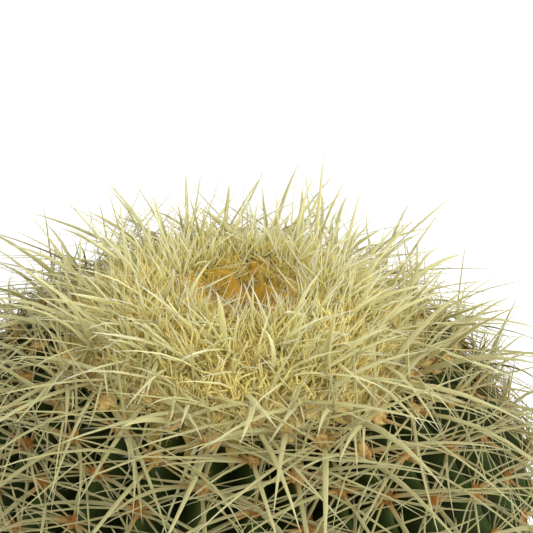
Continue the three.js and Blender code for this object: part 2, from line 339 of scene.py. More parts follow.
# %% Directions and age of an areole
# each measure's first value, then its changes as (change, from arc, to arc)
AGEING = {
    "spread": (0.3, (0.7, 30, 132)),  # how far the bunch has opened
    "growth": (0.14, (0.8, 13, 48), (0.13, 65, 110), (-0.24, 115, 165)),  # its spines' length
    "wander": (0.7, (-0.58, 40, 130)),  # how untidily they lean
    "stout": (0.5, (0.65, 20, 68), (-0.36, 82, 118)),  # their width
}
LONGEST_EXTRA = 0.16
LONGEST_ARC = 104.0
LONGEST_WIDTH = 38.0

down = rib_point(areole_arc)[2]
bearing = swayed(areole_turn)
areole = {
    "arc": areole_arc,
    "age": areole_arc / LINE_LENGTH,
    "place": skin_at(areole_arc, areole_turn),
    "out": spin(-down[:, 1], down[:, 0], bearing),
    "down": spin(down[:, 0], down[:, 1], bearing),
    "side": spin(1.0, 0.0, bearing + np.pi / 2),
}
areole["axes"] = np.stack([areole["side"], -areole["down"], areole["out"]], 1)
for measure, (first, *changes) in AGEING.items():
    steps = [change * smoothstep(areole_arc, low, high) for change, low, high in changes]
    areole[measure] = first + sum(steps)
areole["growth"] += LONGEST_EXTRA * bell(areole_arc, LONGEST_WIDTH, LONGEST_ARC)


def chosen(group, which):
    """The areoles of a group that a mask or a list of numbers picks."""
    return {key: value[which] for key, value in group.items()}


on_crown = np.interp(areole_arc, LINE_ARC, LINE_RADIUS) < WOOL_RADIUS
crown_areoles = chosen(areole, on_crown)
rib_areoles = chosen(areole, ~on_crown)
print(on_crown.sum(), "areoles on the crown,", (~on_crown).sum(), "on the ribs")

# %% [markdown]
# ## Growing spines
# A spine is a flattened awl. It is thick for most of its length, ends in a fine point, and curves
# a little. Blender's hair would give the look but no mesh, and a bevelled curve for each of
# thousands of spines would be slow. So one function carries an oval along all the curved paths of
# a group at once. Every spine has the same few faces, which makes the face list one pattern that
# is repeated with an offset.

# %% Growing spines
SPINE_LEVELS = np.array([0, 0.06, 0.2, 0.4, 0.6, 0.79, 0.93])


def awl(t):
    """Half width along a spine: a blade 1 - t^2.3 that starts at 0.8, and a bulb at the root."""
    return (1 - t**2.3) * lerp(0.8, 1.0, smoothstep(t, 0, 0.2)) + 0.5 * bell(t, 0.045)


def hair(t):
    """Half width along a fibre: 1 - 0.6 t."""
    return 1 - 0.6 * t


def grow(
    name, root, start, bend, length, width, facing, tone, age,
    levels=SPINE_LEVELS, sides=6, flat=0.22, taper=awl,
):
    """Carries an oval along each path root + length * (start * t + bend * t^2), t from 0 to 1.
    The oval's half width is width / 2 * taper(t). Its thickness is that times flat, which becomes
    1 at the root. Its broad side looks as nearly as it can in the direction called facing. The
    piece knows each spine's tone and age, and how far along it a point is."""
    count, rows = len(root), len(levels)
    t = levels[None, :, None]
    reach = length[:, None, None]
    path = root[:, None] + reach * (start[:, None] * t + bend[:, None] * t**2)
    ahead = unit(start[:, None] + 2 * bend[:, None] * t)
    wide = unit(np.cross(ahead, facing[:, None]))
    thick = np.cross(ahead, wide) * lerp(flat, 1.0, bell(levels, 0.06))[:, None]
    half = (width[:, None] / 2 * taper(levels))[..., None, None]
    around = np.arange(sides) / sides * 2 * np.pi
    oval = np.cos(around)[:, None] * wide[:, :, None] + np.sin(around)[:, None] * thick[:, :, None]
    rings = (path[:, :, None] + half * oval).reshape(count, rows * sides, 3)
    tip = (root + length[:, None] * (start + bend))[:, None]
    points = np.concatenate([path[:, :1], rings, tip], 1)
    per_spine = points.shape[1]
    outward = [kind[:, ::-1] for kind in turned_faces(rows, sides)]
    return fill(
        name,
        points.reshape(-1, 3),
        *repeated(outward, per_spine, count),
        along=np.tile(np.concatenate([[0], np.repeat(levels, sides), [1]]), count),
        tone=np.repeat(tone, per_spine),
        age=np.repeat(age, per_spine),
    )


# %% [markdown]
# ## Keeping the lower spines off the pot
# Spines low on the stem would run into the rim or the soil. On the real plant they are pushed
# aside as it grows. Here each such spine is bent up, a little at a time, until its path is clear.


# %% Keeping the lower spines off the pot
def wall_radius_at(height):
    """Outside of the pot's tapered wall: foot + (mouth - foot) * height / pot's height."""
    return lerp(POT_BASE_RADIUS, COLLAR_RADIUS - COLLAR_STEP, height / POT_HEIGHT)


def clear_of_pot(root, start, bend, length, margin=3.0, push=0.16, rounds=14):
    """Adds to the upward part of each start direction while a point of its path is too low."""
    t = np.linspace(0.15, 1, 8)[None, :, None]
    bore = wall_radius_at(POT_HEIGHT) - WALL
    for _ in range(rounds):
        path = root[:, None] + length[:, None, None] * (start[:, None] * t + bend[:, None] * t**2)
        reach = np.hypot(path[..., 0], path[..., 1])
        floor = np.where(reach > bore - margin, POT_HEIGHT, SOIL_LEVEL) + margin
        low = ((path[..., 2] < floor) & (reach < COLLAR_RADIUS + margin)).any(1)
        start = np.where(low[:, None], unit(start + [0, 0, push]), start)
    return start


# %% [markdown]
# ## The bunches
# A grown areole bears four stout central spines, the longest of them pointing down and out, and
# about nine thinner radial ones that lie back towards the skin. Together they hide the plant. The
# table below gives each kind its lean, its length, its width and how it curves, and random draws
# from one seed make every bunch a little different.

# %% The bunches
def pair(out, down, side, *rest):
    """Two spines of one kind, one to each side."""
    return [(out, down, side, *rest), (out, down, -side, *rest)]


# out, down, side, length, width, curve: the first three in the areole's directions, the lengths
# and widths as shares of a central spine's
CENTRALS = [
    (0.60, 0.84, 0.00, 1.34, 1.00, 0.36),
    *pair(0.52, 0.14, 0.84, 1.32, 0.80, 0.34),
    (0.60, -0.78, 0.00, 0.76, 0.68, 0.24),
]
RADIALS = [
    (0.30, -0.90, 0.05, 0.60, 0.46, 0.06),
    *pair(0.26, -0.40, 0.86, 1.00, 0.54, 0.08),
    *pair(0.24, -0.02, 0.97, 1.16, 0.58, 0.12),
    *pair(0.24, 0.20, 0.96, 1.10, 0.54, 0.14),
    *pair(0.24, 0.46, 0.88, 1.08, 0.58, 0.14),
]
FOOT_RING = 2.5  # how far from an areole's middle its spines stand
MISSING = 0.05
THIN_ARC = 80.0
THIN_WIDTH = 25.0


def bunch(group, kinds, seed, sink=0.5, vary=0.13, facing_out=1.0, thinned=0.0):
    """A spine of each kind on each areole of the group, as grow() takes them. Spines curve down the
    rib, back to the skin and to the ground. A share of them is missing, MISSING + thinned * a bell
    round THIN_ARC, because bunches that leave the crown aren't full yet."""
    draw = np.random.default_rng(seed)
    count = len(group["arc"])
    spread = group["spread"][:, None]
    missing = MISSING + thinned * bell(group["arc"], THIN_WIDTH, THIN_ARC)
    parts = []
    for out, down, side, length, width, curve in kinds:
        lean = down * group["down"] + side * group["side"]
        start = group["out"] * lerp(1.0, out, spread) + lean * spread
        start = unit(start + group["wander"][:, None] * draw.normal(size=(count, 3)))
        bend = curve * (0.6 * group["down"] - 0.4 * group["out"] - [0, 0, 0.3])
        bend = bend + 0.13 * np.clip(draw.normal(size=(count, 3)), -1.7, 1.7)
        long_ = CENTRAL_LENGTH * length * group["growth"]
        long_ = long_ * np.exp(vary * np.clip(draw.normal(size=count), -2, 0.9))
        wide = CENTRAL_WIDTH * width * group["stout"]
        wide = wide * np.exp(vary * np.clip(draw.normal(size=count), -2, 1.2))
        root = group["place"] - sink * group["out"] + FOOT_RING * lean
        start = clear_of_pot(root, start, bend, long_)
        facing = facing_out * group["out"] + 0.3 * draw.normal(size=(count, 3))
        tone = draw.uniform(size=count)
        there = draw.uniform(size=count) >= missing
        spine = (root, start, bend, long_, wide, facing, tone, group["age"])
        parts.append([array[there] for array in spine])
    return [np.concatenate(part) for part in zip(*parts)]


central_spines = grow("central_spines", *bunch(rib_areoles, CENTRALS, 21, vary=0.09))
radial_spines = grow(
    "radial_spines",
    *bunch(rib_areoles, RADIALS, 22, thinned=0.5),
    levels=SPINE_LEVELS[[0, 1, 3, 5, 6]],
    sides=5,
    flat=0.34,
)

# %% [markdown]
# ## The crown
# New areoles are so close together that their wool grows into one felted cushion, golden in the
# middle, where the growing point lies in a hollow. It could be sculpted, but a formula keeps it on
# the stem: a closed turned surface that swells over the rib line, with a pit in its middle, hills
# of felt on it and a wavy edge.

# %% The felt of the crown
PIT_DEPTH = 10.0
PIT_RADIUS = 18.0
FELT_SKIRT = np.array([2.0, 7.0])  # how far below its edge the felt's side runs
FELT_UNDERSIDE = 9.0
CROWN_STEPS = 2000  # rows of the line table that are all above the widest level


def felt_lift_at(arc):
    """Thickness of the felt: edge + swell * sin(pi * share), less a bell-shaped pit."""
    radius = np.interp(arc, LINE_ARC, LINE_RADIUS)
    swell = np.sin(np.pi * lerp(WOOL_MIDDLE_SHARE, 1, np.clip(radius / WOOL_RADIUS, 0, 1)))
    return WOOL_EDGE_THICKNESS + WOOL_THICKNESS * swell - PIT_DEPTH * bell(radius, PIT_RADIUS)


def arc_at_share(share):
    """Distance along the rib line to a radius that is this share of the felt's."""
    return np.interp(WOOL_RADIUS * share, LINE_RADIUS[:CROWN_STEPS], LINE_ARC[:CROWN_STEPS])


felt_turn = np.linspace(0, 2 * np.pi, 240, endpoint=False)
felt_share = np.linspace(0.02, 1, 44)
felt_arc = arc_at_share(felt_share)
over = round_stem(felt_arc[:, None], felt_turn)
edge_level = over[-1, 0, 2]
ragged = lumps(over, 16, 5) * 1.2 + lumps(over, 6, 6) * 0.8 + lumps(over, 2.6, 7, 24) * 0.3
ragged = ragged * smoothstep(felt_share, 0, 0.2)[:, None]
over[..., 2] += felt_lift_at(felt_arc)[:, None] + ragged
edge_wave = 1 + 0.03 * lumps(over, 12, 8) * smoothstep(felt_share, 0.6, 1)[:, None]
over[..., :2] *= edge_wave[..., None]
side = over[[-1, -1]] * np.array([1.0, 0.97])[:, None, None]
side[..., 2] = edge_level - FELT_SKIRT[:, None]
under_radius = WOOL_RADIUS * np.array([0.6, 0.2])[:, None]
under = spin(under_radius, edge_level - FELT_UNDERSIDE, felt_turn)
crown_felt = fill_turned(
    "crown_felt",
    np.concatenate([over, side, under]),
    over[0, :, 2].mean(),
    edge_level - FELT_UNDERSIDE,
    reach=np.append(felt_share, np.ones(4))[:, None],
)
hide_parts("crown_wool")

# %% [markdown]
# ## The young spines of the crown
# On the crown the spines are still growing. They are short and upright in the middle and nearly
# full length at its edge, and they lean every way. The table has the columns of the one for grown
# bunches and the same function places them, so the crown passes into the ribs without a seam.

# %% The young spines of the crown
YOUNG = [
    (1.00, 0.35, 0.00, 1.30, 1.00, 0.28),
    *pair(0.80, 0.30, 0.80, 1.10, 0.62, 0.28),
    (0.80, -0.80, 0.00, 0.90, 0.60, 0.18),
    *pair(0.60, 0.40, 0.85, 0.95, 0.50, 0.20),
    *pair(0.50, -0.60, -0.70, 0.80, 0.48, 0.15),
]
crown_spines = grow(
    "crown_spines",
    *bunch(crown_areoles, YOUNG, 23, sink=-2.0, vary=0.15, facing_out=0.0, thinned=0.3),
    flat=0.18,
)

# %% [markdown]
# ## Areole pads
# Each areole on a rib is an oval pad of short tan felt, larger and softer while it is young. One
# sculpted pad would have to be copied hundreds of times. Here the pads are small domes from one
# formula, placed by the areoles' three directions, and each point of a dome is pushed out or in a
# little, so no two are alike.

# %% Areole pads
PAD_HALF = np.array([3.0, 4.2, 1.7])  # sideways, down the rib, out
YOUNG_PAD = np.array([1.9, 2.2, 1.5])  # how many times larger a young one is


def fill_ovals(name, place, axes, half, rows, columns, rough, seed, **values):
    """Closed domes, place + axes * half * (sin u cos v, sin u sin v, cos u), with each point moved
    out or in by a random share of about rough. There is one value for each dome."""
    u = (np.arange(1, rows + 1) / (rows + 1) * np.pi)[:, None]
    v = (np.arange(columns) / columns * 2 * np.pi)[None, :]
    ball = np.broadcast_arrays(np.sin(u) * np.cos(v), np.sin(u) * np.sin(v), np.cos(u))
    ball = np.concatenate([[[0, 0, 1]], np.stack(ball, -1).reshape(-1, 3), [[0, 0, -1]]])
    count, per_dome = len(place), len(ball)
    scale = 1 + rough * np.random.default_rng(seed).normal(size=(count, per_dome, 1))
    points = place[:, None] + np.einsum("pbk,pkx->pbx", ball * half[:, None] * scale, axes)
    faces = repeated(turned_faces(rows, columns), per_dome, count)
    values = {key: np.repeat(value, per_dome) for key, value in values.items()}
    return fill(name, points.reshape(-1, 3), *faces, **values)


youth = 1 - smoothstep(rib_areoles["arc"], 75, 122)
pad_half = PAD_HALF * lerp(0.8, 1.1, np.random.default_rng(31).uniform(size=(len(youth), 1)))
pad_half = pad_half * lerp(1.0, YOUNG_PAD, youth[:, None])
areole_pads = fill_ovals(
    "areole_pads",
    rib_areoles["place"],
    rib_areoles["axes"],
    pad_half,
    rows=5, columns=10, rough=0.1, seed=32,
    age=rib_areoles["age"],
)

# %% [markdown]
# ## Tufts of the crown
# On the crown every areole is a tuft of its own wool, and together the tufts give the cushion its
# pimpled look. Hills in the felt's formula would be too round for that, so the tufts are the same
# domes as the pads, stood upright in the felt and larger towards its edge.

# %% Tufts of the crown
TUFT_HALF = np.array([4.0, 4.4, 6.5])
TUFT_SINK = 2.0

tuft_lift = felt_lift_at(crown_areoles["arc"]) - TUFT_SINK
tuft_size = lerp(0.3, 1.3, smoothstep(crown_areoles["arc"], 12, 60))[:, None]
tuft_size = tuft_size * lerp(0.75, 1.15, np.random.default_rng(33).uniform(size=tuft_size.shape))
crown_tufts = fill_ovals(
    "crown_tufts",
    crown_areoles["place"] + tuft_lift[:, None] * crown_areoles["out"],
    crown_areoles["axes"],
    TUFT_HALF * tuft_size,
    rows=5, columns=9, rough=0.12, seed=34,
    reach=0.55 * crown_areoles["arc"] / WOOL_RADIUS,
)

# %% [markdown]
# ## Wool in the furrows
# Where the ribs begin, round the cushion, the furrows between them are still packed with wool. A
# filling for each furrow would have to be fitted to the skin. One closed ring of wool does the
# same: it runs just under the crests, which stand out of it, and sinks away further down the ribs.

# %% Wool in the furrows
FURROW_REACH = 0.85  # its shade, between that of the felt's middle and of its edge
FURROW_UNDERSIDE = 20.0

carpet_turn = np.linspace(0, 2 * np.pi, 12 * RIBS, endpoint=False)
carpet_arc = np.concatenate([[15, 35], np.linspace(54, 112, 26)])
sunk = np.concatenate([[6, 3], lerp(-3.0, 14.0, smoothstep(carpet_arc[2:], 68, 114))])
level_stem = round_stem(carpet_arc[:, None], carpet_turn)
ragged = lumps(level_stem, 9, 35) * 1.1 + lumps(level_stem, 3.5, 36, 24) * 0.6
over = round_stem(carpet_arc[:, None], carpet_turn, ragged - sunk[:, None])
under = round_stem(carpet_arc[::-5, None], carpet_turn, -FURROW_UNDERSIDE)
furrow_wool = fill_turned(
    "furrow_wool",
    np.concatenate([over, under]),
    over[0, :, 2].mean(),
    under[-1, :, 2].mean(),
    reach=np.repeat([FURROW_REACH, 1.0], [len(over), len(under)])[:, None],
)

# %% [markdown]
# ## Loose wool
# Loose fibres break up the smooth felt. Those of the pads are fine and curly. Those of the crown
# and its furrows are flat and stiff, like narrow blades, and here and there they part and show the
# golden felt. Hair would make no mesh, so they are grown as the spines are, only smaller.


# %% Loose wool
def wool(
    name, place, out, length, seed, age, width=0.3,
    stray=0.94, curl=0.7, levels=(0, 0.5), flat=1.0, taper=hair,
):
    """Short fibres that start out from the surface, stray sideways from it, and curl."""
    draw = np.random.default_rng(seed)
    count = len(place)
    start = unit(out + stray * draw.normal(size=(count, 3)))
    bend = curl * draw.normal(size=(count, 3))
    long_ = length * draw.uniform(0.5, 1.2, count)
    wide = width * draw.uniform(0.7, 1.3, count)
    facing = draw.normal(size=(count, 3))
    tone = draw.uniform(size=count)
    strands = (place, start, bend, long_, wide, facing, tone, age)
    return grow(name, *strands, levels=np.array(levels), sides=3, flat=flat, taper=taper)


draw = np.random.default_rng(41)
on_pad = np.repeat(np.arange(len(youth)), lerp(16, 110, youth).astype(int))
host = chosen(rib_areoles, on_pad)
spot = 0.5 * draw.normal(size=(len(on_pad), 2)) * pad_half[on_pad, :2]
place = host["place"] + 1.2 * host["out"]
place = place + spot[:, :1] * host["side"] + spot[:, 1:] * host["down"]
length = lerp(5.0, 8.0, youth[on_pad])
areole_wool = wool("areole_wool", place, host["out"], length, 42, host["age"])

# %% Fleece of the crown and its furrows
BLADE = {"stray": 0.6, "curl": 0.25, "levels": (0, 0.35, 0.75), "flat": 0.5, "taper": awl}
UP = np.array([0, 0, 1.0])
CROWN_FIBRES = 8500
PARTED_ABOVE = 1.1  # where the hills are higher than this, the felt shows
FURROW_FIBRES = 6500
FURROW_WIDTH = 2.0
FIBRE_SINK = 0.6


def scattered(seed, count, inner, outer, crowding=1.0):
    """Random (share of the felt's radius, turn). The share is the root of one that is even from
    inner to outer, which spreads it evenly over the area, to the power called crowding."""
    draw = np.random.default_rng(seed)
    share = np.sqrt(draw.uniform(inner, outer, count)) ** crowding
    return share, draw.uniform(0, 2 * np.pi, count)


share, turn = scattered(43, CROWN_FIBRES, 0.0004, 1, crowding=0.8)
arc = arc_at_share(share)
place = round_stem(arc, turn)
place[:, 2] += felt_lift_at(arc) - FIBRE_SINK
length = lerp(5.0, 16.0, smoothstep(share, 0.35, 0.95))
width = lerp(0.9, 2.3, smoothstep(share, 0.3, 0.8))
full = lumps(place, 15, 47) < PARTED_ABOVE
place, length, share, width = (array[full] for array in (place, length, share, width))
crown_fleece = wool("crown_fleece", place, UP, length, 44, share, width, **BLADE)

share, turn = scattered(45, FURROW_FIBRES, 1.0, 2.1)
place = round_stem(arc_at_share(share), turn, 3.0 - 8.0 * smoothstep(share, 1.1, 1.45))
length = lerp(15.0, 10.0, smoothstep(share, 1.0, 1.3))
shade = np.full(FURROW_FIBRES, FURROW_REACH)
furrow_fleece = wool("furrow_fleece", place, UP, length, 46, shade, FURROW_WIDTH, **BLADE)

# %% [markdown]
# ## Soil
# The soil's top is uneven, with grains of grit and bark half sunk in it. A flat disc would look
# like card, so the bed is a closed turned surface with clods, which also lines the hole where the
# stem stands. The grains are rough ovals of many sizes, thrown over the ring of soil that shows.

# %% Soil
SOIL_DIP = 4.0
SOIL_EDGE = SOIL_LEVEL - SOIL_DIP
SURFACE_ROWS = 24
HOLE_GAP = 0.7


def bore_at(height):
    """Radius of the soil at a height: the inside of the pot's wall, less the gap."""
    return wall_radius_at(height) - WALL - SEAT_GAP


bore_top, bore_foot = bore_at(SOIL_EDGE), bore_at(WALL)
hole = np.stack([neck_radius + HOLE_GAP, neck_level - SEAT_GAP], 1)[::-1]
surface = np.linspace([foot_radius + HOLE_GAP, SOIL_LEVEL], [bore_top, SOIL_EDGE], SURFACE_ROWS)
middle = [lerp(bore_top, bore_foot, 0.5), lerp(SOIL_EDGE, WALL, 0.5)]
side = [middle, [bore_foot, WALL + 2], [bore_foot - 6, WALL + SEAT_GAP]]
rows = np.concatenate([hole, surface, side])
soil_turn = np.linspace(0, 2 * np.pi, 300, endpoint=False)
rings = spin(rows[:, :1], rows[:, 1:], soil_turn)
clods = lumps(rings, 14, 51) + lumps(rings, 5, 52) * 0.7 + lumps(rings, 2.4, 53, 24) * 0.35
shown = np.repeat([0, 0.3, 1, 0.3, 0], [len(hole), 1, SURFACE_ROWS - 2, 1, len(side)])
rings[..., 2] += shown[:, None] * clods
soil_bed = fill_turned("soil_bed", rings, hole[0, 1], WALL + SEAT_GAP)
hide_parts("soil")

# %% Grit on the soil
GRAINS = 2600

draw = np.random.default_rng(54)
grain_radius = draw.uniform(foot_radius + 3, bore_top - 2, GRAINS)
grain_turn = draw.uniform(0, 2 * np.pi, GRAINS)
grain_size = np.clip(np.exp(draw.normal(0.25, 0.45, GRAINS)), 0.7, 3.6)
grain_axes = np.linalg.qr(draw.normal(size=(GRAINS, 3, 3)))[0]
grain_axes[:, 2] *= np.sign(np.linalg.det(grain_axes))[:, None]
grain_half = grain_size[:, None] * draw.uniform(0.6, 1.1, (GRAINS, 3))
outwards = (grain_radius - foot_radius) / (bore_top - foot_radius)
grain_level = lerp(SOIL_LEVEL, SOIL_EDGE, outwards) + 0.35 * grain_size
soil_grit = fill_ovals(
    "soil_grit",
    spin(grain_radius, grain_level, grain_turn),
    grain_axes,
    grain_half,
    rows=3, columns=6, rough=0.09, seed=55,
    tone=draw.uniform(size=GRAINS),
)

# %% [markdown]
# ## The pot
# An unglazed clay pot is thrown or pressed round, with a thick band at its mouth and soft edges.
# Its outline is a list of corners, each with a radius. The corners are rounded with short curves,
# and the long walls get extra rings, so the clay can be a touch out of true. The drain holes go
# through the floor with a Boolean modifier, which is applied at once.


# %% The pot's outline
def straight(start, end, spacing):
    """Points after start and up to end, start + (end - start) * share."""
    cuts = max(1, int(np.linalg.norm(end - start) / spacing))
    return lerp(start, end, (np.arange(1, cuts + 1) / cuts)[:, None])


def rounded(corners, steps=5, spacing=5.0):
    """A line through (radius, height, rounding) corners. Each rounding is the parabola
    (1 - t)^2 before + 2 t (1 - t) corner + t^2 after, and the straight runs are cut into steps of
    about the spacing."""
    at = np.array([corner[:2] for corner in corners], float)
    rounding = np.array([corner[2] for corner in corners], float)
    line = [at[:1]]
    for k in range(1, len(at) - 1):
        before = at[k] + unit(at[k - 1] - at[k]) * rounding[k]
        after = at[k] + unit(at[k + 1] - at[k]) * rounding[k]
        line.append(straight(line[-1][-1], before, spacing))
        t = (np.arange(1, steps + 1) / steps)[:, None]
        line.append((1 - t) ** 2 * before + 2 * t * (1 - t) * at[k] + t**2 * after)
    line.append(straight(line[-1][-1], at[-1], spacing))
    return np.concatenate(line)


collar_foot = POT_HEIGHT - COLLAR_HEIGHT
outline = rounded([
    (0, WALL, 0),
    (wall_radius_at(WALL) - WALL, WALL, 5),
    (wall_radius_at(POT_HEIGHT) - WALL, POT_HEIGHT, 3.5),
    (COLLAR_RADIUS, POT_HEIGHT, 3.5),
    (COLLAR_RADIUS, collar_foot, 3),
    (wall_radius_at(collar_foot), collar_foot, 3),
    (POT_BASE_RADIUS, 0, 3),
    (0, 0, 0),
])
print("the pot's outline has", len(outline), "points")

# %% Turning the pot
OUT_OF_TRUE = 0.25
WALL_MIDDLE_RADIUS = 160.0

pot_turn = np.linspace(0, 2 * np.pi, 160, endpoint=False)
inner = outline[1:-1]
rings = spin(inner[:, :1], inner[:, 1:], pot_turn)
is_wall = smoothstep(inner[:, 1], 6, 30) * smoothstep(inner[:, 0], 100, 112)
swell = OUT_OF_TRUE * lumps(rings, 120, 61) * is_wall[:, None]
rings[..., :2] *= (1 + swell / WALL_MIDDLE_RADIUS)[..., None]
pot_body = fill_turned("pot_body", rings, WALL, 0)

# %% Drilling the drain holes
drain_turn = (np.arange(DRAIN_HOLES) + 0.5) / DRAIN_HOLES * 2 * np.pi
drain_place = DRAIN_CIRCLE * np.stack([np.cos(drain_turn), np.sin(drain_turn), 0 * drain_turn], 1)
drill_round = np.linspace(0, 2 * np.pi, 32, endpoint=False)
drill_ends = np.array([3.0, -1.0]) * WALL
drill = spin(DRAIN_RADIUS, drill_ends[:, None], drill_round).reshape(-1, 3)
drill = np.concatenate([[[0, 0, drill_ends[0]]], drill, [[0, 0, drill_ends[1]]]])
drills = fill(
    "drills",
    (drain_place[:, None] + drill).reshape(-1, 3),
    *repeated(turned_faces(2, len(drill_round)), len(drill), DRAIN_HOLES),
)
drilling = pot_body.modifiers.new("drain_holes", "BOOLEAN")
drilling.operation = "DIFFERENCE"
drilling.object = drills
drilled = pot_body.evaluated_get(bpy.context.evaluated_depsgraph_get())
pot_mesh = bpy.data.meshes.new_from_object(drilled)
pot_body.modifiers.clear()
pot_body.data = pot_mesh
bpy.data.objects.remove(drills)
pot_mesh.set_sharp_from_angle(angle=np.radians(50))
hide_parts("pot")
print("pot_body has", len(pot_mesh.polygons), "faces after drilling")

# %% [markdown]
# ## A short way to write materials
# Each finish below is a small network of nodes. The recipe class keeps them readable: it makes a
# node, joins what is given by another node, and sets what is a plain number. Patterns are read
# from Object coordinates, in metres, or from the named values that the pieces carry.


# %% A short way to write materials
def light(colour):
    """Screen values 0 to 1 as light: (c + 0.055) / 1.055 to the power 2.4, or c / 12.92."""
    c = np.asarray(colour, float)
    return (*np.where(c > 0.04045, ((c + 0.055) / 1.055) ** 2.4, c / 12.92), 1)


class Finish:
    """One material, with a method for each kind of node that the finishes need."""

    def __init__(self, name):
        self.material = bpy.data.materials.new(name)
        self.material.use_nodes = True
        self.tree = self.material.node_tree
        self.shader = self.tree.nodes["Principled BSDF"]

    def node(self, kind, inputs=None, **settings):
        """A node with its settings, and its inputs joined or set."""
        node = self.tree.nodes.new(kind)
        for key, value in settings.items():
            setattr(node, key, value)
        for key, value in (inputs or {}).items():
            self.give(node.inputs[key], value)
        return node

    def give(self, socket, value):
        """Joins a socket to an output, or sets it to a number or a colour."""
        if isinstance(value, bpy.types.NodeSocket):
            self.tree.links.new(value, socket)
        else:
            socket.default_value = value

    def coordinates(self):
        """Object coordinates, where each piece's place is, in metres."""
        return self.node("ShaderNodeTexCoord").outputs["Object"]

    def noise(self, size, detail, stretch=(1, 1, 1)):
        """Noise whose cells are about this many millimetres, 0 to 1."""
        squeeze = {"Vector": self.coordinates(), "Scale": tuple(1 / s for s in stretch)}
        place = self.node("ShaderNodeMapping", squeeze).outputs["Vector"]
        inputs = {"Vector": place, "Scale": 1 / (size * MM), "Detail": detail}
        return self.node("ShaderNodeTexNoise", inputs).outputs["Fac"]

    def value(self, name):
        """A number that the piece carries on its points."""
        return self.node("ShaderNodeAttribute", attribute_name=name).outputs["Fac"]

    def math(self, operation, a, b):
        """a and b through one sum, product, power or other operation."""
        return self.node("ShaderNodeMath", {0: a, 1: b}, operation=operation).outputs[0]

    def rescale(self, value, low, high, first=0.0, last=1.0):
        """low + (high - low) * (value - first) / (last - first), kept between low and high."""
        inputs = {"From Min": first, "From Max": last, "To Min": low, "To Max": high}
        return self.node("ShaderNodeMapRange", {"Value": value, **inputs}).outputs["Result"]

    def ramp(self, share, *stops):
        """Colours at places from 0 to 1 along the share, given as (place, red, green, blue)."""
        node = self.node("ShaderNodeValToRGB", {"Fac": share})
        band = node.color_ramp.elements
        while len(band) < len(stops):
            band.new(0.5)
        for element, (place, *colour) in zip(band, stops):
            element.position = place
            element.color = light(colour)
        return node.outputs["Color"]

    def blend(self, share, a, b, blend_type="MIX"):
        """Colour a at share 0 and colour b at share 1."""
        node = self.node("ShaderNodeMix", data_type="RGBA", blend_type=blend_type)
        for key, value in {0: share, 6: a, 7: b}.items():
            self.give(node.inputs[key], value)
        return node.outputs[2]

    def tint(self, colour, pattern, amount, shade):
        """The colour, moved towards a shade by pattern * amount."""
        return self.blend(self.math("MULTIPLY", pattern, amount), colour, light(shade))

    def bump(self, height, depth, strength, over=None):
        """Bumps as high as this many millimetres, over other bumps if there are any."""
        inputs = {"Height": height, "Distance": depth * MM, "Strength": strength}
        if over is not None:
            inputs["Normal"] = over
        return self.node("ShaderNodeBump", inputs).outputs["Normal"]

    def done(self, *pieces, **inputs):
        """Gives the shader its inputs and puts the finish on the pieces."""
        for key, value in inputs.items():
            self.give(self.shader.inputs[key.replace("_", " ")], value)
        for piece in pieces:
            piece.data.materials.clear()
            piece.data.materials.append(self.material)
        print(self.material.name, "on", [piece.name for piece in pieces])


# %% [markdown]
# ## Waxy green skin
# The skin is dark green and dull with wax, and much of that darkness is painted shade of the spines
# over it. It is paler on the crests, a painted highlight together with wear, and nearly black down
# in the furrows, which is painted shade. Old skin near the soil turns to tan cork. Paint by
# position would miss the ribs, so the green follows the value across, which every point of the skin
# carries.

# %% Waxy green skin
green = Finish("waxy_green_skin")
# Green across the ribs: the pale crests are a painted highlight and the near-black furrows are
# painted shade, over the skin's own green
green_with_painted_crest_light_and_furrow_shade = green.ramp(
    green.value("across"),
    (0.0, 0.20, 0.26, 0.07),
    (0.35, 0.12, 0.155, 0.025),
    (1.0, 0.035, 0.045, 0.005),
)
mottle = green.noise(9, 5)
green_with_painted_crest_light_and_furrow_shade = green.tint(green_with_painted_crest_light_and_furrow_shade, mottle, 0.3, (0.26, 0.32, 0.11))
cork = green.ramp(green.noise(6, 6), (0.3, 0.34, 0.28, 0.18), (0.7, 0.56, 0.48, 0.34))
age_line = green.math("ADD", green.value("reach"), green.math("MULTIPLY", mottle, 0.14))
corky = green.ramp(age_line, (0.9, 0, 0, 0), (1.0, 1, 1, 1))
green.done(
    stem_skin,
    Base_Color=green.blend(corky, green_with_painted_crest_light_and_furrow_shade, cork),
    Roughness=green.rescale(mottle, 0.42, 0.6),
    Normal=green.bump(green.noise(0.7, 2), 0.12, 0.6, green.bump(mottle, 0.5, 0.6)),
    Specular_IOR_Level=0.12,
)

# %% [markdown]
# ## Straw spines
# A spine is horn-like and lets a little light into it. The young ones on the crown are golden, the
# grown ones pale straw, and the oldest near the soil go grey. The grown spines on the ribs are also
# painted darker than those of the crown, which is painted shade for the light that falls from
# above.
# Each starts brown at its root and fades towards its tip, and on the grown spines the tip is
# painted darker, which is painted shade where they stand out into the light. Each is faintly
# mottled, and no two are quite the same shade. One material does it all, because every spine
# carries its age, its tone and the way along it.

# %% Straw spines
straw = Finish("straw_spine")
